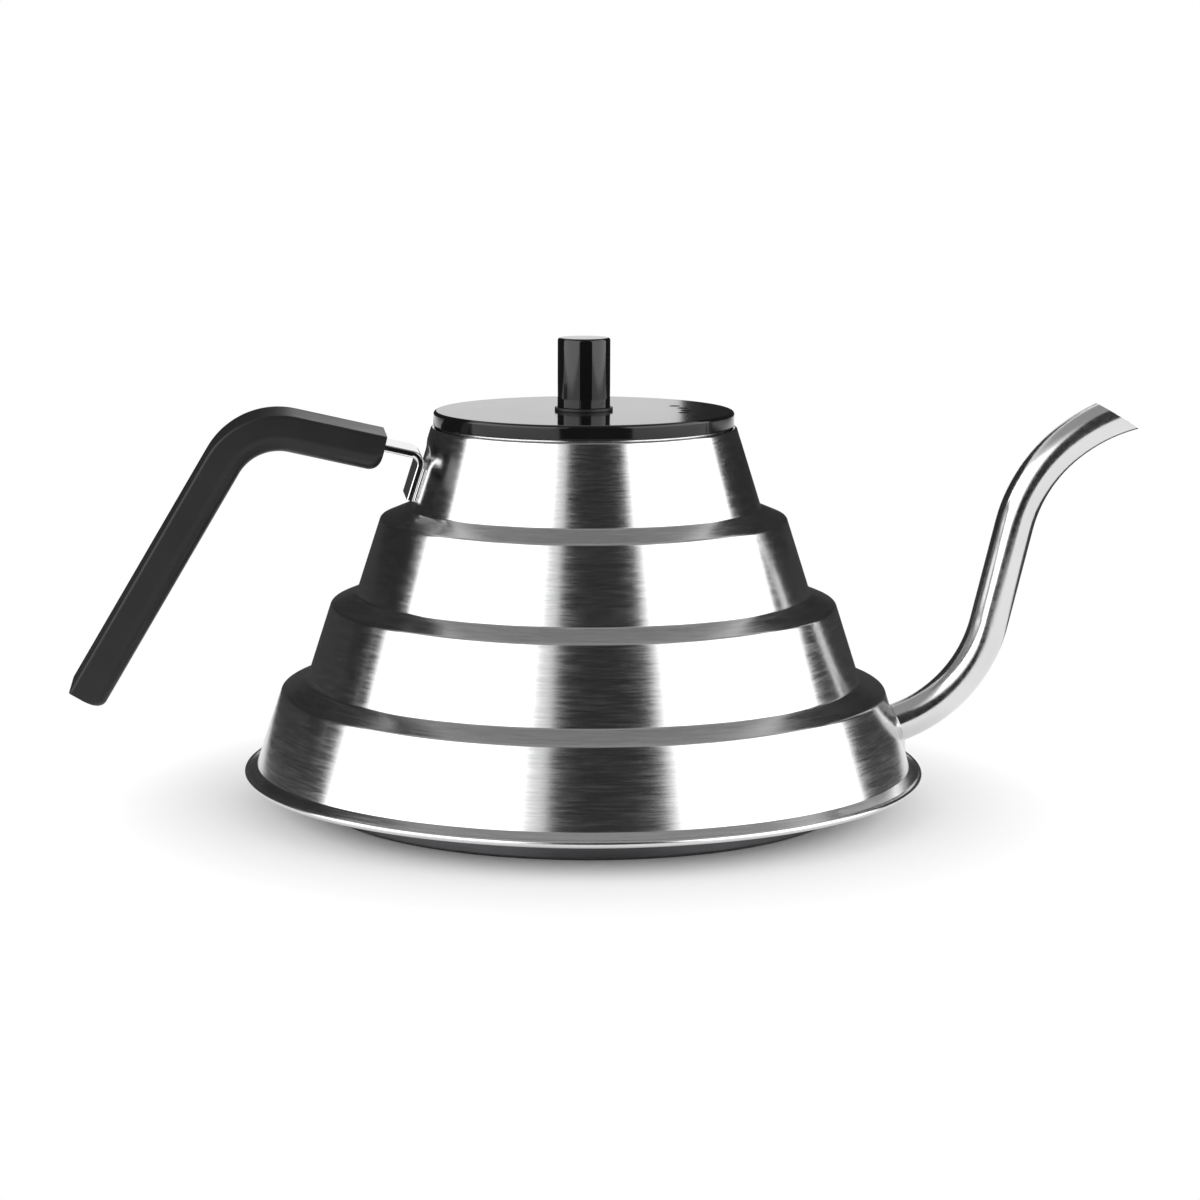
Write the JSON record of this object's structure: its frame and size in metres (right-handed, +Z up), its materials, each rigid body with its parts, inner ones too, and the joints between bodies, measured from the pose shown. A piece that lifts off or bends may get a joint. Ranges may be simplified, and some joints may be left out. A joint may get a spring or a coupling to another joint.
{
  "type": "gooseneck kettle",
  "caption": "Gooseneck pour-over kettle with a stepped conical steel body, slim curved spout, bent strap handle with a black grip, and a lift-off black lid with a cylindrical knob.",
  "frame": {"origin": "on the kettle's vertical axis at the surface it stands on", "axes": "+Z up along the kettle's axis, +X towards the spout, -X towards the handle"},
  "size_m": [0.2753, 0.1748, 0.1196],
  "materials": {
    "brushed_steel": "circumferentially brushed stainless",
    "rim_steel": "bright rolled stainless",
    "aluminium": "plain",
    "base_steel": "dark satin magnetic steel",
    "spout_steel": "satin drawn tube",
    "strap_steel": "polished stainless",
    "grip_black": "satin black moulding",
    "fastener_steel": "plain stainless",
    "lid_black": "gloss black moulding",
    "cup_steel": "satin",
    "seal_rubber": "black silicone",
    "insert_brass": "plain"
  },
  "bodies": {
    "kettle": {"body_shell": "brushed_steel", "base_pan": "rim_steel", "heat_disc": "aluminium", "base_cap": "base_steel", "spout_tube": "spout_steel", "handle_backplate": "strap_steel", "handle_strap": "strap_steel", "handle_grip": "grip_black", "grip_screws": "fastener_steel", "grip_washers": "fastener_steel"},
    "lid": {"lid_disc": "lid_black", "lid_cup": "cup_steel", "lid_knob": "lid_black", "knob_seal": "seal_rubber", "knob_insert": "insert_brass", "knob_screw": "fastener_steel", "knob_spring_washer": "fastener_steel", "knob_washer": "fastener_steel"}
  },
  "joints": [
    {"name": "lid_lift", "type": "slide", "parent": "kettle", "child": "lid", "axis": [0, 0, 1], "range_m": [0, 0.08]}
  ]
}
